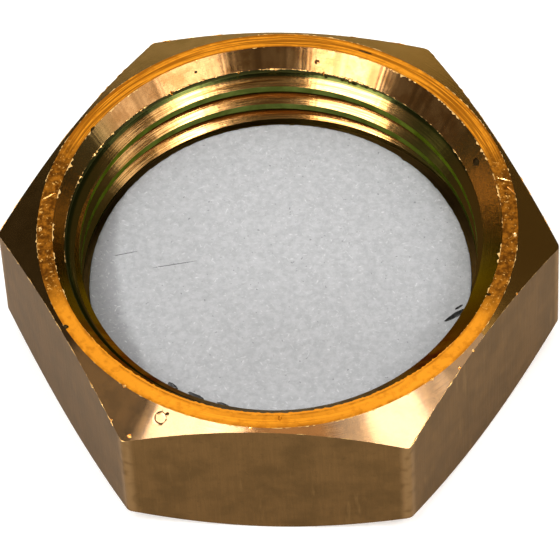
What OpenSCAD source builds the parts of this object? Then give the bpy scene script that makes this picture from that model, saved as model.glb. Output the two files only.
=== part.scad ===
/* [Hexagon] */
// Width across the flats of the hexagon
across_flats = 30; // [29.7:0.1:34]
// Height of the cap from the closed end to the mouth
cap_height = 10.8; // [9.6:0.1:16]
// Radius worn onto the six upright corners
corner_radius = 0.4; // [0.1:0.1:1.5]

/* [Turned ends] */
// Outer diameter of the flat ring round the mouth
land_diameter = 29.5; // [28.4:0.1:29.6]
// Outer diameter of the flat of the closed end
base_diameter = 29.5; // [26:0.1:29.6]
// Slope of the chamfer that takes the hexagon's corners off at both ends
corner_chamfer_angle = 31; // [15:1:40]

/* [Thread] */
// Major diameter of the internal thread, at the bottom of its groove
thread_major_diameter = 26.44; // [26:0.01:26.7]
// Diameter of the bore that leaves the crests of the thread
bore_diameter = 24.5; // [24.1:0.05:24.8]
// Pitch of the thread
thread_pitch = 1.814; // [1.5:0.001:2]
// Angle between the two flanks of the thread
flank_angle = 55; // [50:1:60]
// Radius at the bottom of the thread's groove
root_radius = 0.25; // [0.1:0.01:0.3]
// Direction in which the thread's groove leaves the relief, counted from the X axis
thread_start_angle = 136; // [0:1:359]
// Diameter of the lead-in chamfer where it meets the flat ring
mouth_diameter = 27.6; // [26.8:0.1:28]
// Angle between the wall of the lead-in chamfer and the axis
lead_in_angle = 40; // [30:1:50]

/* [Seat] */
// Thickness of the closed end under the seat
floor_thickness = 3.2; // [2:0.1:4]
// Diameter of the relief groove that the thread runs out into, above the seat
relief_diameter = 26.8; // [26.8:0.1:27.6]
// Height of that relief, from the seat up
relief_height = 1.4; // [1.3:0.1:2.4]

/* [Sealing disc] */
// Diameter of the loose disc, which drops in through the thread
disc_diameter = 23.8; // [20:0.1:24]
// Thickness of the disc
disc_thickness = 2; // [1:0.1:2.5]

/* [Hidden] */
$fn = 96;
// How far a cutting shape runs past the face that it opens
OVERSHOOT = 0.05;
// How far up the relief the thread's groove starts, as a share of the relief's height
RUN_OUT_SHARE = 0.65;
// Steps of a worn corner, of the thread's groove in one turn, and of the arc at its bottom
CORNER_STEPS = 4;
STEPS_PER_TURN = 60;
ROOT_STEPS = 3;

hexagon_reach = across_flats / 2 / cos(30);
lead_in_depth = (mouth_diameter - bore_diameter) / 2 / tan(lead_in_angle);

// Hexagonal bar with its corners on the X axis and its upright edges worn round
module hexagonal_bar() {
    corner_centre = hexagon_reach - corner_radius / cos(30);
    linear_extrude(height = cap_height)
        polygon([
            for (corner = [0 : 60 : 300], step = [0 : CORNER_STEPS])
                let (turn = corner + 60 * step / CORNER_STEPS - 30)
                corner_centre * [cos(corner), sin(corner)] + corner_radius * [cos(turn), sin(turn)]
        ]);
}

// What the lathe leaves of the bar: a flat at each end and a cone out to the corners
module turned_ends() {
    outside = hexagon_reach + 1;
    slope = tan(corner_chamfer_angle);
    rotate_extrude()
        polygon([
            [0, 0],
            [base_diameter / 2, 0],
            [outside, (outside - base_diameter / 2) * slope],
            [outside, cap_height - (outside - land_diameter / 2) * slope],
            [land_diameter / 2, cap_height],
            [0, cap_height]
        ]);
}

// Relief, bore and lead-in chamfer, turned in one setting from the mouth
module turned_hollow() {
    relief_top = floor_thickness + relief_height;
    relief_step = (relief_diameter - bore_diameter) / 2;
    rotate_extrude()
        polygon([
            [0, floor_thickness],
            [relief_diameter / 2, floor_thickness],
            [relief_diameter / 2, relief_top],
            [bore_diameter / 2, relief_top + relief_step / 2],
            [bore_diameter / 2, cap_height - lead_in_depth],
            [mouth_diameter / 2, cap_height],
            [mouth_diameter / 2, cap_height + OVERSHOOT],
            [0, cap_height + OVERSHOOT]
        ]);
}

// Outline of the groove as [radius, height] points: two flanks and a round bottom
function groove_outline() =
    let (
        half_flank = flank_angle / 2,
        root_centre = thread_major_diameter / 2 - root_radius,
        inner = bore_diameter / 2 - OVERSHOOT,
        tangent_turn = 90 - half_flank,
        half_width = root_radius * sin(tangent_turn)
            + (root_centre + root_radius * cos(tangent_turn) - inner) * tan(half_flank)
    )
    concat(
        [[inner, -half_width]],
        [for (step = [0 : ROOT_STEPS])
            let (turn = tangent_turn * (2 * step / ROOT_STEPS - 1))
            [root_centre + root_radius * cos(turn), root_radius * sin(turn)]],
        [[inner, half_width]]
    );

// The groove of the right-hand thread, swept up from the relief and out of the mouth
module thread_groove() {
    outline = groove_outline();
    sides = len(outline);
    start_height = floor_thickness + relief_height * RUN_OUT_SHARE;
    turns = (cap_height + thread_pitch / 2 - start_height) / thread_pitch;
    rings = ceil(turns * STEPS_PER_TURN);
    points = [
        for (ring = [0 : rings])
            let (turned = ring * 360 / STEPS_PER_TURN)
            let (angle = thread_start_angle + turned)
            let (rise = start_height + thread_pitch * turned / 360)
            for (p = outline) [p[0] * cos(angle), p[0] * sin(angle), rise + p[1]]
    ];
    walls = [
        for (ring = [0 : rings - 1], side = [0 : sides - 1])
            let (
                a = ring * sides + side,
                b = ring * sides + (side + 1) % sides
            )
            each [[a, b, b + sides], [a, b + sides, a + sides]]
    ];
    ends = [
        [for (side = [sides - 1 : -1 : 0]) side],
        [for (side = [0 : sides - 1]) rings * sides + side]
    ];
    polyhedron(points = points, faces = concat(walls, ends));
}

// Cap turned from hexagonal bar, closed at the bottom, with its thread cut from the mouth
module cap_body() {
    color("goldenrod")
        difference() {
            intersection() {
                hexagonal_bar();
                turned_ends();
            }
            turned_hollow();
            thread_groove();
        }
}

// Flat fibre disc that lies loose on the seat at the bottom of the thread
module sealing_disc() {
    color("lightgray")
        translate([0, 0, floor_thickness])
            cylinder(h = disc_thickness, d = disc_diameter);
}

cap_body();
sealing_disc();
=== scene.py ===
import math

import bmesh
import bpy
from mathutils import Matrix, Vector, noise


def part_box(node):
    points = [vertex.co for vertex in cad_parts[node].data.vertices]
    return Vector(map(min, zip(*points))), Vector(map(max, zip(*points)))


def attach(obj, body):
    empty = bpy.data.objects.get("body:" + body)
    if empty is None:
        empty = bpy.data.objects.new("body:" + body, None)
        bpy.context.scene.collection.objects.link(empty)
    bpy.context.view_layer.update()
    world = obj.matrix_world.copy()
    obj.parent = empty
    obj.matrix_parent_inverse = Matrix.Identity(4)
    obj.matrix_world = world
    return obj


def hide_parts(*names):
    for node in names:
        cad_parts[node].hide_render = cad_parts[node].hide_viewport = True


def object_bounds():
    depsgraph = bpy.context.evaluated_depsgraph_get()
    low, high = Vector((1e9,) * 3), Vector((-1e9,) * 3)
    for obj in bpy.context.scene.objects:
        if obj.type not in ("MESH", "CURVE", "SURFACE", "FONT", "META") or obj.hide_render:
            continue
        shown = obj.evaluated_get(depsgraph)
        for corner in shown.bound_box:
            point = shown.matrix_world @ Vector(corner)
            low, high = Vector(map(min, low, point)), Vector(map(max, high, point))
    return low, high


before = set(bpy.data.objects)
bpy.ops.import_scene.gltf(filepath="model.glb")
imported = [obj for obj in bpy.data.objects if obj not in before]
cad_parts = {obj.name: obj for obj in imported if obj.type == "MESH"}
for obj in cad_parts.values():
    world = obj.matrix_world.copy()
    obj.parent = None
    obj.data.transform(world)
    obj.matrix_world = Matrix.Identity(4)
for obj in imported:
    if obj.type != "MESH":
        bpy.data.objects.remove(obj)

cad_box = [list(corner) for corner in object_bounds()]

# Camera
# The cap lies mouth up and is looked down on from its front through a long lens, a little
# off square, so that the far wall of the thread shows and the near wall hides.
mouth_centre = Vector((0, 0, cad_box[1][2]))
view_turn = math.radians(5.693)
view_rise = math.radians(55.275)
view_roll = math.radians(-3.347)
view_distance = 0.343804
view_aside = -0.000022
view_below = -0.003291
lens_share = 5612.7 / 560

backwards = Vector((
    math.sin(view_turn) * math.cos(view_rise),
    -math.cos(view_turn) * math.cos(view_rise),
    math.sin(view_rise),
))
level = Vector((math.cos(view_turn), math.sin(view_turn), 0))
upright = backwards.cross(level)
camera = bpy.data.objects.new("camera", bpy.data.cameras.new("camera"))
camera.data.sensor_width = 36
camera.data.lens = lens_share * camera.data.sensor_width
camera_axes = Matrix((
    level * math.cos(view_roll) + upright * math.sin(view_roll),
    upright * math.cos(view_roll) - level * math.sin(view_roll),
    backwards,
)).transposed()
camera_place = mouth_centre + backwards * view_distance + level * view_aside + upright * view_below
camera.matrix_world = Matrix.Translation(camera_place) @ camera_axes.to_4x4()
bpy.context.scene.collection.objects.link(camera)
bpy.context.scene.camera = camera

# Cap body
# One piece of free-cutting brass, made from hexagonal bar: faced, chamfered, bored and threaded in a
# lathe, then parted off. Its flats are still the drawn surface of the bar, browned by standing.
MM = 0.001
cap_low, cap_high = (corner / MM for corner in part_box("cap_body"))
cap_height = cap_high.z
half_flats = cap_high.y
corner_reach = half_flats / math.cos(math.radians(30))
corner_radius = 0.4
land_radius = 14.75
mouth_radius = 13.8
bore_radius = 12.25
relief_radius = 13.4
floor_thickness = 3.2
relief_height = 1.4
corner_angle = math.radians(31)
corner_slope = math.tan(corner_angle)
lead_in_slope = math.tan(math.radians(40))
sectors = 12
sector_steps = 60


def add(tree, kind, sockets, **settings):
    """Adds a node, sets or links its sockets, and gives its first output."""
    made = tree.nodes.new("ShaderNode" + kind)
    for name, value in settings.items():
        setattr(made, name, value)
    for name, value in sockets.items():
        if isinstance(value, bpy.types.NodeSocket):
            tree.links.new(value, made.inputs[name])
        else:
            made.inputs[name].default_value = value
    return made.outputs[0]


def place_in_mm(tree, stretch=(1, 1, 1)):
    """The point on the piece, in millimetres from the middle of the underside."""
    coordinates = tree.nodes.new("ShaderNodeTexCoord").outputs["Object"]
    return add(tree, "Mapping", {"Vector": coordinates, "Scale": [share / MM for share in stretch]})


def length_of(tree, vector):
    """How long a vector is."""
    made = tree.nodes.new("ShaderNodeVectorMath")
    made.operation = "LENGTH"
    tree.links.new(vector, made.inputs[0])
    return made.outputs["Value"]


def reach(tree):
    """How far a point lies from the axis, in millimetres."""
    return length_of(tree, place_in_mm(tree, (1, 1, 0)))


def compute(tree, operation, first, second):
    """One sum on two numbers."""
    return add(tree, "Math", {0: first, 1: second}, operation=operation)


def blend(tree, share, first, second):
    """A colour between two others."""
    made = tree.nodes.new("ShaderNodeMix")
    made.data_type = "RGBA"
    for socket, value in ((0, share), (6, first), (7, second)):
        if isinstance(value, bpy.types.NodeSocket):
            tree.links.new(value, made.inputs[socket])
        elif socket == 0:
            made.inputs[0].default_value = value
        else:
            made.inputs[socket].default_value = (*value, 1)
    return made.outputs[2]


def step(tree, value, start, end, low=0.0, high=1.0):
    """A smooth step of a value from one level to another."""
    sockets = {0: value, 1: start, 2: end, 3: low, 4: high}
    return add(tree, "MapRange", sockets, interpolation_type="SMOOTHSTEP")


def way_round(tree):
    """Which way a point lies from the axis, as an arrow of length one."""
    return add(tree, "VectorMath", {0: place_in_mm(tree, (1, 1, 0))}, operation="NORMALIZE")


def rightwards(tree):
    """How far round to the right a point lies, from -1 at the left to 1."""
    return add(tree, "SeparateXYZ", {0: way_round(tree)})


def rearwards(tree):
    """How far round to the back a point lies, from -1 in front to 1."""
    return rightwards(tree).node.outputs["Y"]


def sidewards(tree, start, end, low=0.0):
    """The left and right sides of a ring, where the colour is painted darker as shade; on the ring round
    the mouth real scuffs lie there too.
    """
    return step(tree, compute(tree, "ABSOLUTE", rightwards(tree), 0.0), start, end, low)


def turning_marks(tree, rings_per_mm, length=1.6):
    """Rings round the axis, never quite even and fading in and out round the turn."""
    wander = add(tree, "VectorMath", {0: way_round(tree), "Scale": length}, operation="SCALE")
    height = place_in_mm(tree, (0, 0, rings_per_mm))
    where = add(tree, "VectorMath", {0: wander, 1: height}, operation="ADD")
    ring = compute(tree, "MULTIPLY", reach(tree), float(rings_per_mm))
    return add(
        tree, "TexNoise",
        {"Vector": where, "W": ring, "Scale": 1.0, "Detail": 3.0, "Roughness": 0.65},
        noise_dimensions="4D",
    )


def blotches(tree, per_mm, detail=3.0, stretch=(1, 1, 1)):
    """Uneven patches of stain."""
    return add(
        tree, "TexNoise",
        {"Vector": place_in_mm(tree, stretch), "Scale": per_mm, "Detail": detail, "Roughness": 0.6},
    )


def chatter(tree, per_mm):
    """Marks square to the cut, where the tool chattered, so many to a millimetre round the bore."""
    round_bore = add(tree, "VectorMath", {0: way_round(tree), "Scale": 13.0}, operation="SCALE")
    return add(tree, "TexNoise", {"Vector": round_bore, "Scale": per_mm, "Detail": 2.0, "Roughness": 0.6})


def brass(name, roughness, edge_tint=(1, 1, 1), anisotropy=0.0, film=0.0):
    """A metal under a film of oil or wax, with its shader still to be wired."""
    metal = bpy.data.materials.new(name)
    metal.use_nodes = True
    shader = metal.node_tree.nodes["Principled BSDF"]
    shader.inputs["Metallic"].default_value = 1.0
    shader.inputs["Roughness"].default_value = roughness
    shader.inputs["Specular Tint"].default_value = (*edge_tint, 1)
    shader.inputs["Anisotropic"].default_value = anisotropy
    shader.inputs["Anisotropic Rotation"].default_value = 0.25
    shader.inputs["Coat Weight"].default_value = film
    shader.inputs["Coat Roughness"].default_value = 0.1
    return metal, metal.node_tree, shader


def finish(tree, shader, colour, bump, depth):
    """Wires colour and relief into the metal."""
    tree.links.new(colour, shader.inputs["Base Color"])
    relief = add(tree, "Bump", {"Height": bump, "Strength": 1.0, "Distance": depth * MM})
    tree.links.new(relief, shader.inputs["Normal"])


# The ring round the mouth was faced last and has stood in hands and sacks. It is painted plain and bright
# in front, a painted sheen, with long lines of the tool at the back, and painted darker at both sides,
# painted shade over real scuffs and specks.
land_metal, tree, shader = brass("faced_ring", 0.3, (0.9, 0.6, 0.2), 0.75)
rings = turning_marks(tree, 8, 2.4)
lines = step(tree, rings, 0.42, 0.58)
# Painted sheen: the front loses the tool lines and is painted plain and bright.
plain = step(tree, rearwards(tree), -0.2, 0.5, 1.0, 0.06)
plain = compute(tree, "MULTIPLY", plain, sidewards(tree, 0.1, 0.6, 0.66))
lines = compute(tree, "MAXIMUM", lines, plain)
fresh = blend(tree, lines, (0.33, 0.105, 0.006), (0.93, 0.335, 0.02))
flecks = blotches(tree, 3.0, 5.0)
scuffs_and_shade = blend(tree, step(tree, flecks, 0.36, 0.7), (0.12, 0.038, 0.004), (0.42, 0.145, 0.012))
specks = step(tree, blotches(tree, 5.5, 2.0), 0.62, 0.7, 0.0, 0.75)
scuffs_and_shade = blend(tree, specks, scuffs_and_shade, (1.0, 0.52, 0.12))
# Painted shade: the sides are painted darker, over real scuffs and specks.
side = sidewards(tree, 0.87, 0.965)
pits = compute(tree, "MULTIPLY", compute(tree, "MULTIPLY", flecks, side), 4.0)
relief = compute(tree, "ADD", rings, pits)
grain = blotches(tree, 2.2, 4.0)
fresh = blend(tree, step(tree, grain, 0.46, 0.72, 0.0, 0.5), fresh, (0.5, 0.15, 0.008))
rims = step(tree, reach(tree), land_radius - 0.3, land_radius)
inner_rim = step(tree, reach(tree), mouth_radius + 0.2, mouth_radius)
rims = compute(tree, "MAXIMUM", rims, inner_rim)
worn = compute(tree, "MULTIPLY", rims, step(tree, blotches(tree, 1.5, 4.0), 0.3, 0.6))
fresh = blend(tree, compute(tree, "MULTIPLY", worn, 0.75), fresh, (0.33, 0.095, 0.006))
relief = compute(tree, "ADD", relief, grain)
finish(tree, shader, blend(tree, side, fresh, scuffs_and_shade), relief, 0.012)

# The lead-in chamfer is the brightest cut, with faint rings and a few cloudy patches. Towards its sides it
# is painted darker, painted shade, and lighter at the right than at the left.
# The low edge tint makes the near wall, seen at a grazing angle, come out dark olive: painted shade.
lead_in_metal, tree, shader = brass("lead_in_cut", 0.19, (0.2, 0.18, 0.055), 0.6)
cloud = step(tree, blotches(tree, 1.1), 0.4, 0.66)
bright = blend(tree, cloud, (0.5, 0.26, 0.1), (0.37, 0.17, 0.055))
bright = blend(tree, step(tree, chatter(tree, 0.8), 0.5, 0.62, 0.0, 0.7), bright, (0.24, 0.11, 0.035))
ripple = compute(tree, "MULTIPLY", chatter(tree, 1.3), 3.5)
relief = compute(tree, "ADD", turning_marks(tree, 9), ripple)
# Painted shade: darker at the sides and darker still at the far sides, painted lighter at the right.
bright = blend(tree, sidewards(tree, 0.76, 0.9), bright, (0.25, 0.165, 0.055))
painted_light_right = step(tree, rightwards(tree), 0.0, 0.5)
side_shade = blend(tree, painted_light_right, (0.13, 0.09, 0.03), (0.28, 0.19, 0.065))
finish(tree, shader, blend(tree, sidewards(tree, 0.93, 0.985), bright, side_shade), relief, 0.005)

# The crests are what is left of the bore, green with old cutting oil.
# The low edge tint keeps the crests dark green at the sides, where they would mirror the disc at a grazing
# angle: painted shade.
crest_metal, tree, shader = brass("oiled_crest", 0.32, (0.35, 0.42, 0.12))
green = blend(tree, step(tree, blotches(tree, 0.8), 0.35, 0.65), (0.2, 0.25, 0.06), (0.12, 0.145, 0.035))
finish(tree, shader, green, turning_marks(tree, 9), 0.003)

# The flanks keep long streaks of the threading tool. Their colour is painted darker and greener at the
# right, darker at the sides
# and darker low down in the groove: painted shade. The root between them is painted dark as well, painted
# shade.
thread_metal, tree, shader = brass("cut_thread", 0.11, (0.4, 0.3, 0.08))
streaks = turning_marks(tree, 12)
flank = blend(tree, step(tree, streaks, 0.38, 0.62), (0.34, 0.155, 0.038), (0.66, 0.36, 0.13))
# Painted shade: darker and greener towards the right, and at the sides, with the right side lighter than
# the left.
flank = blend(tree, step(tree, rightwards(tree), 0.45, 0.7), flank, (0.13, 0.115, 0.03))
painted_light_right = step(tree, rightwards(tree), 0.0, 0.8)
sides = blend(tree, painted_light_right, (0.17, 0.115, 0.025), (0.3, 0.16, 0.035))
flank = blend(tree, sidewards(tree, 0.75, 0.96), flank, sides)
# Painted shade: the flanks are painted dark low down in the groove.
painted_groove_shade = step(tree, reach(tree), bore_radius + 0.49, bore_radius + 0.65)
flank = blend(tree, painted_groove_shade, flank, (0.045, 0.05, 0.012))
ripple = compute(tree, "MULTIPLY", chatter(tree, 1.1), 1.6)
finish(tree, shader, flank, compute(tree, "ADD", streaks, ripple), 0.006)
# Painted shade: the root of the groove and the relief under the thread are painted near black.
root_metal, tree, shader = brass("shaded_root", 0.45)
root_shade = blend(tree, blotches(tree, 1.0), (0.05, 0.05, 0.014), (0.03, 0.03, 0.009))
finish(tree, shader, root_shade, blotches(tree, 4.0), 0.01)

# The chamfers on the corners were turned with a sharp tool and shine in front. The others, and
# those of the closed end, have browned, and are painted lighter towards the right: painted light.
chamfer_metal, tree, shader = brass("turned_chamfer", 0.12, (0.8, 0.6, 0.35), film=0.6)
cloud = step(tree, blotches(tree, 0.9), 0.4, 0.7)
ripple = compute(tree, "MULTIPLY", chatter(tree, 0.7), 2.5)
relief = compute(tree, "ADD", turning_marks(tree, 5), ripple)
finish(tree, shader, blend(tree, cloud, (0.22, 0.115, 0.042), (0.17, 0.09, 0.034)), relief, 0.005)
browned_metal, tree, shader = brass("browned_chamfer", 0.22, (0.75, 0.66, 0.5))
cloud = step(tree, blotches(tree, 0.7), 0.35, 0.7)
ripple = compute(tree, "MULTIPLY", chatter(tree, 1.5), 2.0)
relief = compute(tree, "ADD", turning_marks(tree, 5), ripple)
brown = blend(tree, cloud, (0.19, 0.105, 0.036), (0.15, 0.082, 0.026))
# Painted light: the browned chamfers are painted lighter towards the right.
painted_light_right = step(tree, rightwards(tree), 0.1, 0.9)
finish(tree, shader, blend(tree, painted_light_right, brown, (0.32, 0.16, 0.034)), relief, 0.004)

# The flats are drawn, with lines along the bar, brown where they have stood and bare at the
# corners.
flat_metal, tree, shader = brass("drawn_flat", 0.42, (0.7, 0.64, 0.58))
lines = blotches(tree, 6.0, 4.0, (1, 1, 0.05))
patch = step(tree, blotches(tree, 0.5, 4.0), 0.35, 0.68)
dull = blend(tree, patch, (0.136, 0.072, 0.024), (0.097, 0.052, 0.017))
dull = blend(tree, step(tree, lines, 0.35, 0.65, 0.0, 0.25), dull, (0.08, 0.043, 0.015))
stains = step(tree, blotches(tree, 2.2, 4.0), 0.58, 0.7, 0.0, 0.4)
dull = blend(tree, stains, dull, (0.07, 0.038, 0.013))
rubbed = step(tree, blotches(tree, 1.6, 3.0, (1, 1, 0.12)), 0.6, 0.74, 0.0, 0.3)
dull = blend(tree, rubbed, dull, (0.25, 0.14, 0.05))
worn = step(tree, blotches(tree, 1.2, 1.0), 0.2, 0.55)
corners = step(tree, reach(tree), corner_reach - 0.36, corner_reach - 0.12)
worn = compute(tree, "MULTIPLY", corners, worn)
finish(tree, shader, blend(tree, worn, dull, (0.21, 0.12, 0.048)), lines, 0.012)

# The closed end was faced off after parting.
end_metal, tree, shader = brass("faced_end", 0.32, (0.9, 0.6, 0.3), 0.5)
patch = step(tree, blotches(tree, 0.5), 0.35, 0.7)
faced = blend(tree, patch, (0.5, 0.3, 0.09), (0.36, 0.2, 0.06))
rings = step(tree, turning_marks(tree, 3), 0.42, 0.6, 0.0, 0.4)
faced = blend(tree, rings, faced, (0.25, 0.13, 0.035))
finish(tree, shader, faced, turning_marks(tree, 5), 0.01)

# Feathers of metal stand along the edges that the tools left, bent over into a redder lip at the
# front of the mouth, and grime sits in the dents.
burr_metal, tree, shader = brass("burr", 0.2)
front = step(tree, rearwards(tree), -0.4, -0.7)
rolled = step(tree, reach(tree), mouth_radius + 0.5, mouth_radius + 0.3)
rolled = compute(tree, "MULTIPLY", front, rolled)
golden = blend(tree, blotches(tree, 3.0), (1.0, 0.68, 0.3), (0.8, 0.42, 0.1))
finish(tree, shader, blend(tree, rolled, golden, (0.85, 0.3, 0.02)), blotches(tree, 8.0), 0.01)
grime_metal, tree, shader = brass("grimed_dent", 0.5)
grime = blend(tree, blotches(tree, 2.0), (0.06, 0.035, 0.012), (0.03, 0.02, 0.008))
finish(tree, shader, grime, blotches(tree, 8.0), 0.01)

cap_metals = [
    flat_metal, chamfer_metal, browned_metal, land_metal, lead_in_metal, crest_metal, thread_metal,
    root_metal, end_metal, burr_metal, grime_metal,
]
(flat_slot, chamfer_slot, browned_slot, land_slot, lead_in_slot, crest_slot, thread_slot,
 root_slot, end_slot, burr_slot, grime_slot) = range(len(cap_metals))


def lathe(outline, cuts):
    """
    Turns a solid from an outline of radius and height. Each stretch of it is spun over one sector,
    with the metal and the spacing of points that its cut gives, and the sector is then repeated.
    """
    mesh = bmesh.new()
    for (r0, z0), (r1, z1), (slot, spacing) in zip(outline, outline[1:], cuts):
        before = set(mesh.faces)
        pieces = max(1, round(math.hypot(r1 - r0, z1 - z0) / spacing))
        shares = [i / pieces for i in range(pieces + 1)]
        line = [mesh.verts.new((r0 + (r1 - r0) * share, 0, z0 + (z1 - z0) * share)) for share in shares]
        edges = [mesh.edges.new(pair) for pair in zip(line, line[1:])]
        bmesh.ops.spin(
            mesh, geom=line + edges, cent=(0, 0, 0), axis=(0, 0, 1), dvec=(0, 0, 0),
            angle=math.tau / sectors, steps=sector_steps,
        )
        for face in set(mesh.faces) - before:
            face.material_index = slot
    bmesh.ops.spin(
        mesh, geom=mesh.verts[:] + mesh.edges[:] + mesh.faces[:], cent=(0, 0, 0), axis=(0, 0, 1),
        dvec=(0, 0, 0), angle=math.tau * (sectors - 1) / sectors, steps=sectors - 1, use_duplicate=True,
    )
    bmesh.ops.remove_doubles(mesh, verts=mesh.verts, dist=0.0005)
    bmesh.ops.recalc_face_normals(mesh, faces=mesh.faces)
    return mesh


def as_object(mesh, name, metals):
    """Puts a mesh on an object of its own."""
    data = bpy.data.meshes.new(name)
    mesh.to_mesh(data)
    mesh.free()
    made = bpy.data.objects.new(name, data)
    for metal in metals:
        data.materials.append(metal)
    bpy.context.scene.collection.objects.link(made)
    return made


def shape(body, tools):
    """Works the tools into the body, one after the other, and clears them away."""
    for tool, operation in tools:
        cut = body.modifiers.new(tool.name, "BOOLEAN")
        cut.object = tool
        cut.operation = operation
        cut.solver = "EXACT"
    shaped = bpy.data.meshes.new_from_object(body.evaluated_get(bpy.context.evaluated_depsgraph_get()))
    body.modifiers.clear()
    body.data = shaped
    for tool, operation in tools:
        bpy.data.objects.remove(tool)
    return shaped


def hand_over(piece, sharp_from, node):
    """Brings a piece to metres, smooths it, hangs it on the body it rides on and hides the part of the
    model that it stands for.
    """
    piece.data.transform(Matrix.Scale(MM, 4))
    piece.data.shade_smooth()
    piece.data.set_sharp_from_angle(angle=math.radians(sharp_from))
    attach(piece, "root")
    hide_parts(node)


outside = corner_reach + 1
chamfer_drop = (outside - land_radius) * corner_slope
relief_top = floor_thickness + relief_height
relief_shoulder = relief_top + (relief_radius - bore_radius) / 2
lead_in_end = cap_height - (mouth_radius - bore_radius) / lead_in_slope
# The relief under the thread takes the dark root metal: painted shade.
turned = lathe([
    (0, 0), (land_radius, 0), (outside, chamfer_drop), (outside, cap_height - chamfer_drop),
    (land_radius, cap_height), (mouth_radius, cap_height), (bore_radius, lead_in_end),
    (bore_radius, relief_shoulder), (relief_radius, relief_top), (relief_radius, floor_thickness),
    (0, floor_thickness),
], [
    (end_slot, 2.5), (chamfer_slot, 0.5), (flat_slot, 20), (chamfer_slot, 0.3), (land_slot, 0.16),
    (lead_in_slot, 0.2), (crest_slot, 0.8), (root_slot, 0.6), (root_slot, 0.9), (end_slot, 2.5),
])
for face in turned.faces:
    if face.material_index == chamfer_slot:
        middle = face.calc_center_median()
        if middle.z < cap_height / 2 or middle.y > -half_flats / 2:
            face.material_index = browned_slot
cap = as_object(turned, "cap", cap_metals)

# The bar that the cap was turned from
bar_mesh = bmesh.new()
bmesh.ops.create_cone(
    bar_mesh, cap_ends=True, segments=6, depth=cap_height + 4, radius1=corner_reach, radius2=corner_reach,
)
quarter_turn = Matrix.Rotation(math.radians(90), 3, "Z")
bmesh.ops.rotate(bar_mesh, verts=bar_mesh.verts, cent=(0, 0, 0), matrix=quarter_turn)
bmesh.ops.translate(bar_mesh, verts=bar_mesh.verts, vec=(0, 0, cap_height / 2))
upright_edges = [e for e in bar_mesh.edges if abs(e.verts[0].co.z - e.verts[1].co.z) > 1]
bmesh.ops.bevel(
    bar_mesh, geom=upright_edges, offset=corner_radius * math.tan(math.radians(30)), segments=6,
    affect="EDGES", profile=0.5, material=-1,
)
bar = as_object(bar_mesh, "bar", cap_metals)

# The threading tool's path: a groove of 55 degrees with a round bottom, climbing right-handed,
# with its flanks split where the painted shade of the root begins
thread_pitch = 1.814
thread_start = math.radians(136)
thread_steps = 240
major_radius = 13.22
root_radius = 0.25
half_flank = math.radians(27.5)
inner = bore_radius - 0.05
root_centre = major_radius - root_radius
half_width = root_radius * math.cos(half_flank) + (
    root_centre + root_radius * math.sin(half_flank) - inner) * math.tan(half_flank)
flank_split = 13.05
split_width = half_width - (flank_split - inner) * math.tan(half_flank)
groove_outline = [(inner, -half_width), (flank_split, -split_width)]
for i in range(5):
    swing = (math.pi / 2 - half_flank) * (i / 2 - 1)
    groove_outline.append((root_centre + root_radius * math.cos(swing), root_radius * math.sin(swing)))
groove_outline += [(flank_split, split_width), (inner, half_width)]
groove = bmesh.new()
profile = groove.faces.new([groove.verts.new((r, 0, z)) for r, z in groove_outline])
profile.material_index = thread_slot
start_height = floor_thickness + relief_height * 0.65
bmesh.ops.translate(groove, verts=groove.verts, vec=(0, 0, start_height))
start_turn = Matrix.Rotation(thread_start, 3, "Z")
bmesh.ops.rotate(groove, verts=groove.verts, cent=(0, 0, 0), matrix=start_turn)
thread_turns = (cap_height + thread_pitch / 2 - start_height) / thread_pitch
rungs = math.ceil(thread_turns * thread_steps)
bmesh.ops.spin(
    groove, geom=groove.verts[:] + groove.edges[:] + groove.faces[:], cent=(0, 0, 0), axis=(0, 0, 1),
    dvec=(0, 0, thread_pitch / thread_steps), angle=math.tau * rungs / thread_steps, steps=rungs,
)
bmesh.ops.recalc_face_normals(groove, faces=groove.faces)
for face in groove.faces:
    middle = face.calc_center_median()
    if math.hypot(middle.x, middle.y) > flank_split:
        face.material_index = root_slot
groove_cutter = as_object(groove, "groove", cap_metals)

# Knocks and scratches in the lead-in, the ring round the mouth and the corner chamfers, each
# given by its turn round the axis, where it lies, how big it is and which metal it bares
knocks = bmesh.new()


def knock(mesh, place, size, heading, lean, slot):
    """A dent's shape: an egg laid on the surface, headed round the axis and leaned over."""
    matrix = Matrix.Translation(place) @ Matrix.Rotation(math.radians(heading), 4, "Z") @ \
        Matrix.Rotation(math.radians(lean), 4, "Y") @ Matrix.Diagonal((*size, 1))
    made = bmesh.ops.create_icosphere(mesh, subdivisions=2, radius=1)
    for vertex in made["verts"]:
        vertex.co *= 1 + 0.35 * noise.noise(vertex.co * 1.6 + place)
    bmesh.ops.transform(mesh, verts=made["verts"], matrix=matrix)
    for face in {face for vertex in made["verts"] for face in vertex.link_faces}:
        face.material_index = slot


def round_axis(turn, radius, z):
    """A point given by its turn round the axis, radius and height."""
    return Vector((radius * math.cos(math.radians(turn)), radius * math.sin(math.radians(turn)), z))


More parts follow.
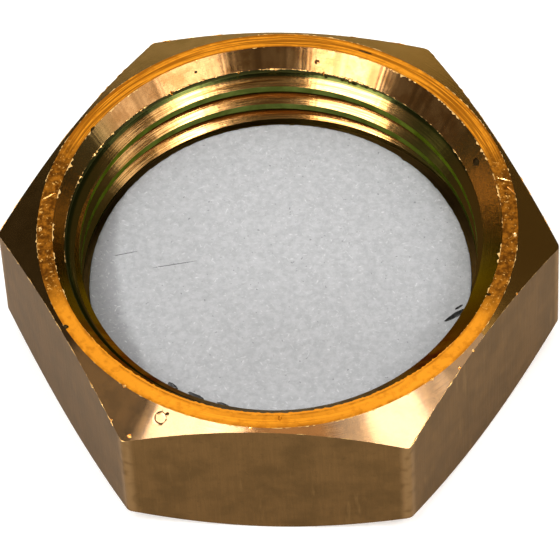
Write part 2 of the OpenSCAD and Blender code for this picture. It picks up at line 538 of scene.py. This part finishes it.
for turn, z, size, slot in (
    (82.2, 10.14, 0.17, lead_in_slot), (25.2, 10.16, 0.29, grime_slot), (115.5, 10.26, 0.1, grime_slot),
):
    knock(
        knocks, round_axis(turn, mouth_radius - (cap_height - z) * lead_in_slope, z),
        (size * 0.6, size, size), turn, 50, slot,
    )
for turn, radius, size, heading, slot in (
    (149.1, 13.8, (0.1, 0.22, 0.1), 149, grime_slot), (273.6, 14.05, (0.18, 0.11, 0.05), 280, land_slot),
    (15.9, 14.35, (0.5, 0.05, 0.05), -15, burr_slot), (12.0, 14.64, (0.5, 0.05, 0.05), -45, burr_slot),
    (172.5, 14.33, (0.48, 0.05, 0.05), 35, burr_slot), (182.4, 14.56, (0.12, 0.2, 0.05), 182, burr_slot),
    (359.1, 14.57, (0.12, 0.2, 0.05), 0, burr_slot), (70.4, 14.32, (0.06, 0.5, 0.05), 70, grime_slot),
    (340.3, 13.9, (0.16, 0.1, 0.12), 352, grime_slot), (212.1, 14.7, (0.2, 0.16, 0.12), 212, grime_slot),
    (234.4, 14.76, (0.1, 0.12, 0.08), 234, burr_slot), (312.0, 14.78, (0.08, 0.14, 0.08), 312, burr_slot),
    (266.8, 14.8, (0.08, 0.12, 0.08), 267, burr_slot),
):
    knock(knocks, round_axis(turn, radius, cap_height), size, heading, 0, slot)
for turn, radius, size, slot in (
    (246.9, 15.02, 0.1, browned_slot), (241.0, 16.86, 0.12, burr_slot), (235.8, 16.62, 0.09, burr_slot),
    (343.7, 15.42, 0.08, burr_slot), (324.6, 15.08, 0.1, burr_slot), (319.2, 15.18, 0.08, burr_slot),
):
    place = round_axis(turn, radius, cap_height - (radius - land_radius) * corner_slope)
    knock(knocks, place, (size * 1.3, size, size), turn - 60, 0, slot)
bmesh.ops.recalc_face_normals(knocks, faces=knocks.faces)
knocks_cutter = as_object(knocks, "knocks", cap_metals)

# The ring pressed into the front chamfer, cut with a torus that dips into the surface
ring = bmesh.new()
ring_turn = 245.6
ring_height = 10.44
ring_lift = 0.294
stand_up = Matrix.Rotation(math.pi / 2, 4, "X")
bmesh.ops.create_circle(
    ring, segments=24, radius=0.3, matrix=Matrix.Translation((0.36, 0, 0)) @ stand_up)
bmesh.ops.spin(
    ring, geom=ring.verts[:] + ring.edges[:], cent=(0, 0, 0), axis=(0, 0, 1), dvec=(0, 0, 0),
    angle=math.tau, steps=32, use_merge=True,
)
for face in ring.faces:
    face.material_index = chamfer_slot
ring_radius = land_radius + (cap_height - ring_height) / corner_slope
ring_place = round_axis(
    ring_turn, ring_radius + ring_lift * math.sin(corner_angle),
    ring_height + ring_lift * math.cos(corner_angle))
ring_matrix = Matrix.Translation(ring_place) @ \
    Matrix.Rotation(math.radians(ring_turn), 4, "Z") @ Matrix.Rotation(corner_angle, 4, "Y")
bmesh.ops.transform(ring, verts=ring.verts, matrix=ring_matrix)
bmesh.ops.recalc_face_normals(ring, faces=ring.faces)
ring_cutter = as_object(ring, "ring", cap_metals)

shaped = shape(cap, (
    (bar, "INTERSECT"), (groove_cutter, "DIFFERENCE"), (knocks_cutter, "DIFFERENCE"),
    (ring_cutter, "DIFFERENCE"),
))


def edge_runs(cut, above, below, right_end, front_end):
    """
    The edges where one surface of the cap meets the next below, as runs of vertices a little apart.
    They may end short of the right side and of the front.
    """
    neighbours = {}
    for edge in cut.edges:
        end = edge.verts[0].co
        if len(edge.link_faces) != 2 or end.xy.length < bore_radius + 0.06:
            continue
        if end.x > right_end or end.y < front_end:
            continue
        low, high = sorted(edge.link_faces, key=lambda face: face.calc_center_median().z)
        if high.material_index in above and low.material_index in below:
            for one, other in (edge.verts, reversed(edge.verts)):
                neighbours.setdefault(one, []).append(other)
    runs = []
    left = set(neighbours)
    for start in [v for v in neighbours if len(neighbours[v]) == 1] + list(neighbours):
        if start not in left:
            continue
        run = [start]
        last = start
        while last is not None:
            left.discard(last)
            if (last.co - run[-1].co).length > 0.06:
                run.append(last)
            last = next((v for v in neighbours[last] if v in left), None)
        if len(run) >= 4:
            runs.append(run)
    return runs


def raise_burr(
        source, name, above, below, thickness, per_mm, seed, wiped=1.0, rolled=0.0,
        right_end=20.0, front_end=-20.0):
    """
    Lays a ragged feather of metal along the edges where one surface of the cap meets the next below.
    In front it may be wiped down to a share of its thickness, or rolled over into an even lip of a
    given radius.
    """
    cut = bmesh.new()
    cut.from_mesh(source)
    tube = bmesh.new()
    for run in edge_runs(cut, above, below, right_end, front_end):
        rings = []
        for i, vertex in enumerate(run):
            along = (run[min(i + 1, len(run) - 1)].co - run[max(i - 1, 0)].co).normalized()
            out = vertex.normal - along * vertex.normal.dot(along)
            out.normalize()
            side = along.cross(out)
            swell = noise.noise(vertex.co * per_mm + Vector((seed, 0, 0)))
            drift = noise.noise(vertex.co * per_mm + Vector((0, seed, 7.0)))
            patchy = max(0.2, 0.8 + 1.8 * noise.noise(vertex.co * 0.9 + Vector((seed, seed, 0))))
            left_over = wiped + (1 - wiped) * min(1, max(0, (vertex.co.y + 8) / 6))
            in_front = min(1, max(0, -0.25 * (vertex.co.y + 7)))
            radius = thickness * left_over * patchy * max(0.2, 0.28 + 2.7 * swell)
            radius = max(radius, (rolled + 0.03 * drift) * in_front)
            centre = vertex.co + out * (radius * 0.3 - thickness * 0.35) + side * drift * thickness * 0.8
            ring = []
            for j in range(6):
                angle = math.tau * j / 6
                place = centre + (out * math.cos(angle) + side * math.sin(angle)) * radius
                for axis in range(3):
                    place[axis] = min(max(place[axis], cap_low[axis] + 0.003), cap_high[axis] - 0.003)
                ring.append(tube.verts.new(place))
            rings.append(ring)
        for one, other in zip(rings, rings[1:]):
            for j in range(6):
                tube.faces.new((one[j], one[(j + 1) % 6], other[(j + 1) % 6], other[j]))
        tube.faces.new(rings[0])
        tube.faces.new(rings[-1])
    cut.free()
    bmesh.ops.recalc_face_normals(tube, faces=tube.faces)
    made = as_object(tube, name, [burr_metal])
    hand_over(made, 60, "cap_body")


chamfers = (chamfer_slot, browned_slot)
raise_burr(shaped, "mouth_burr", (land_slot,), (lead_in_slot,), 0.07, 8.5, 3.0, wiped=0.3, rolled=0.12)
raise_burr(
    shaped, "thread_burr", (lead_in_slot,), (thread_slot, crest_slot, root_slot), 0.055, 8.5, 11.0,
    right_end=11.5, front_end=-2.5)
raise_burr(shaped, "ring_burr", (land_slot,), chamfers, 0.032, 5.0, 23.0)
raise_burr(shaped, "chamfer_burr", chamfers, (flat_slot,), 0.024, 2.4, 31.0)
hand_over(cap, 13, "cap_body")

# Sealing disc
# Punched from a sheet of light grey compressed fibre, so its face is flecked and its edge a little
# torn. It lies loose on the seat.
disc_low, disc_high = (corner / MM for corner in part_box("sealing_disc"))
disc_radius = disc_high.x


def felt(name, pale, dark):
    """The fibre's face: matted fibres, pale flecks and a few dark ones, and a painted shadow along its left
    edge.
    """
    made = bpy.data.materials.new(name)
    made.use_nodes = True
    tree = made.node_tree
    shader = tree.nodes["Principled BSDF"]
    shader.inputs["Roughness"].default_value = 0.8
    mottle = blotches(tree, 2.8, 6.0)
    colour = blend(tree, step(tree, mottle, 0.3, 0.7), pale, dark)
    place = place_in_mm(tree, (1, 1, 0))
    # Painted shadow: a crescent along the left edge, the shadow of the left wall, is painted darker.
    crescent_shadow = length_of(tree, add(tree, "VectorMath", {0: place, 1: (-11.75, -3.3, 0)}, operation="ADD"))
    crescent_shadow = compute(tree, "ADD", crescent_shadow, compute(tree, "MULTIPLY", blotches(tree, 1.3), 0.9))
    colour = blend(tree, step(tree, crescent_shadow, 22.3, 23.0, 0.0, 0.62), colour, (0.24, 0.24, 0.25))
    for heading, seed in ((0.3, 0.0), (1.2, 5.0), (2.2, 9.0), (2.9, 14.0)):
        laid = add(tree, "Mapping", {
            "Vector": place_in_mm(tree), "Rotation": (0, 0, heading), "Scale": (0.4, 0.14, 1.0),
            "Location": (seed, seed, 0)}, vector_type="TEXTURE")
        fibres = add(tree, "TexNoise", {"Vector": laid, "Scale": 1.0, "Detail": 1.0, "Roughness": 0.5})
        colour = blend(tree, step(tree, fibres, 0.66, 0.84, 0.0, 0.45), colour, (0.8, 0.805, 0.82))
    specks = blotches(tree, 4.5, 1.0)
    colour = blend(tree, step(tree, specks, 0.2, 0.29, 0.75, 0.0), colour, (0.2, 0.2, 0.21))
    tree.links.new(colour, shader.inputs["Base Color"])
    relief = add(tree, "Bump", {"Height": blotches(tree, 3.0, 5.0), "Strength": 1.0, "Distance": 0.05 * MM})
    tree.links.new(relief, shader.inputs["Normal"])
    return made


fibre = felt("grey_fibre", (0.47, 0.477, 0.494), (0.38, 0.386, 0.401))
# The near-black fibre stands for painted shade in the notch at the right and the bites along the back, and
# for dirt elsewhere.
grime_and_shade_fibre = felt("grime_and_shade_fibre", (0.09, 0.09, 0.09), (0.04, 0.04, 0.04))
torn_width = 0.7
disc_mesh = lathe([
    (0, disc_low.z), (disc_radius - 0.06, disc_low.z), (disc_radius, disc_low.z + 0.06),
    (disc_radius, disc_high.z - 0.12), (disc_radius - 0.04, disc_high.z - 0.03),
    (disc_radius - 0.14, disc_high.z), (disc_radius - 0.8, disc_high.z), (0, disc_high.z),
], [(0, 3), (0, 0.3), (0, 0.3), (0, 0.05), (0, 0.05), (0, 0.15), (0, 1.5)])
for vertex in disc_mesh.verts:
    radius = math.hypot(vertex.co.x, vertex.co.y)
    if radius > disc_radius - torn_width:
        near = 1 - (disc_radius - radius) / torn_width
        torn = abs(noise.noise(vertex.co * 1.7)) + 0.5 * abs(noise.noise(vertex.co * 5.0))
        vertex.co.x *= 1 - 0.003 * near * torn
        vertex.co.y *= 1 - 0.003 * near * torn
        if vertex.co.z > disc_high.z - 0.2:
            vertex.co.z -= 0.05 * near * abs(noise.noise(vertex.co * 2.3 + Vector((0, 0, 5))))
disc = as_object(disc_mesh, "fibre_disc", [fibre, grime_and_shade_fibre])

# Bites out of the disc's edge, and two scratches at its left. Their walls take the near-black fibre:
# painted shade of the gap beneath in the notch at the right and the bites along the back, dirt in the bites
# at the lower left and in the scratches.
nicks = bmesh.new()
for turn, radius, size, heading in (
    (347.7, 11.28, (0.85, 0.17, 0.3), 38), (233.0, 10.3, (0.17, 0.42, 0.14), 231),
    (242.2, 10.07, (0.16, 0.52, 0.14), 243), (252.5, 9.95, (0.12, 0.42, 0.14), 250),
    (89.3, 11.9, (0.12, 0.25, 0.2), 89), (52.0, 11.9, (0.15, 0.2, 0.2), 52),
    (38.0, 11.95, (0.15, 0.3, 0.2), 38), (20.0, 11.97, (0.12, 0.4, 0.2), 20),
    (350.6, 11.3, (0.3, 0.09, 0.2), 38),
):
    knock(nicks, round_axis(turn, radius, disc_high.z), size, heading, 0, 1)
for x, y, long, heading in ((-9.76, 1.6, 0.78, 15), (-6.7, 0.86, 1.45, 12.5)):
    knock(nicks, Vector((x, y, disc_high.z)), (long, 0.022, 0.04), heading, 0, 1)
nicks_cutter = as_object(nicks, "nicks", [fibre, grime_and_shade_fibre])
shape(disc, ((nicks_cutter, "DIFFERENCE"),))
hand_over(disc, 40, "sealing_disc")

# Studio
# A sheet of white paper on a dark bench in a dim, warm room. Small bright soft boxes stand low and
# high in front, left and right of the camera, with weak wide fills beside and between them, a bar
# overhead and a wide weak one behind.
paper = bpy.data.materials.new("white_paper")
paper.use_nodes = True
tree = paper.node_tree
shader = tree.nodes["Principled BSDF"]
shader.inputs["Base Color"].default_value = (0.8, 0.8, 0.8, 1)
shader.inputs["Roughness"].default_value = 1.0
shader.inputs["Specular IOR Level"].default_value = 0.0
rays = tree.nodes.new("ShaderNodeLightPath").outputs
seen = compute(tree, "MAXIMUM", rays["Is Camera Ray"], rays["Is Glossy Ray"])
seen = compute(tree, "MAXIMUM", seen, rays["Is Transmission Ray"])
shader.inputs["Emission Color"].default_value = (1, 1, 1, 1)
tree.links.new(compute(tree, "MULTIPLY", seen, 0.4), shader.inputs["Emission Strength"])
wood = bpy.data.materials.new("dark_bench")
wood.use_nodes = True
shader = wood.node_tree.nodes["Principled BSDF"]
shader.inputs["Base Color"].default_value = (0.05, 0.042, 0.03, 1)
shader.inputs["Roughness"].default_value = 0.8
for name, half, height, cover in (("paper", 0.35, 0, paper), ("bench", 3, -0.001, wood)):
    sheet = bmesh.new()
    bmesh.ops.create_grid(sheet, x_segments=1, y_segments=1, size=half)
    bmesh.ops.translate(sheet, verts=sheet.verts, vec=(0, 0, height))
    as_object(sheet, name, [cover])

room = bpy.data.worlds.new("room")
room.use_nodes = True
room.node_tree.nodes["Background"].inputs["Color"].default_value = (0.14, 0.13, 0.1, 1)
bpy.context.scene.world = room


def soft_box(name, turn, rise, distance, width, height, radiance, tint=(1, 1, 1)):
    """A soft box that faces the mouth. Turn is counted from the front towards the right."""
    lamp = bpy.data.lights.new(name, "AREA")
    lamp.shape = "RECTANGLE"
    lamp.size, lamp.size_y = width, height
    lamp.energy = radiance * math.pi * width * height
    lamp.color = tint
    turn, rise = math.radians(turn), math.radians(rise)
    outwards = Vector((
        math.sin(turn) * math.cos(rise), -math.cos(turn) * math.cos(rise), math.sin(rise)))
    holder = bpy.data.objects.new(name, lamp)
    holder.matrix_world = Matrix.Translation(mouth_centre + outwards * distance) @ \
        outwards.to_track_quat("Z", "Y").to_matrix().to_4x4()
    bpy.context.scene.collection.objects.link(holder)


soft_box("low_left_box", -29, 23, 0.8, 0.43, 0.15, 10.0)
soft_box("low_right_box", 40, 24.5, 0.8, 0.38, 0.14, 5.5)
soft_box("low_right_fill", 71, 17.5, 0.8, 0.47, 0.2, 2.0)
soft_box("high_left_box", -38, 56, 0.8, 0.31, 0.2, 9.5)
soft_box("upper_left_box", -47, 66.5, 0.8, 0.25, 0.2, 9.0)
soft_box("high_right_box", 56, 56, 0.8, 0.19, 0.2, 8.0)
soft_box("upper_right_box", 67, 64, 0.8, 0.11, 0.16, 8.0)
soft_box("high_right_fill", 57, 58, 0.9, 0.47, 0.32, 2.3)
soft_box("side_right_fill", 90, 46, 0.9, 0.3, 0.26, 1.7)
soft_box("high_middle_fill", 4, 59, 0.9, 0.38, 0.18, 1.6, (1, 0.68, 0.38))
soft_box("high_left_fill", -78, 45, 0.9, 0.33, 0.22, 0.6, (1, 0.88, 0.65))
soft_box("top_box", 180, 84, 0.9, 0.5, 0.22, 1.5)
soft_box("rear_box", 180, 56, 1.1, 1.3, 1.0, 1.0)
bpy.context.scene.view_settings.view_transform = "Standard"
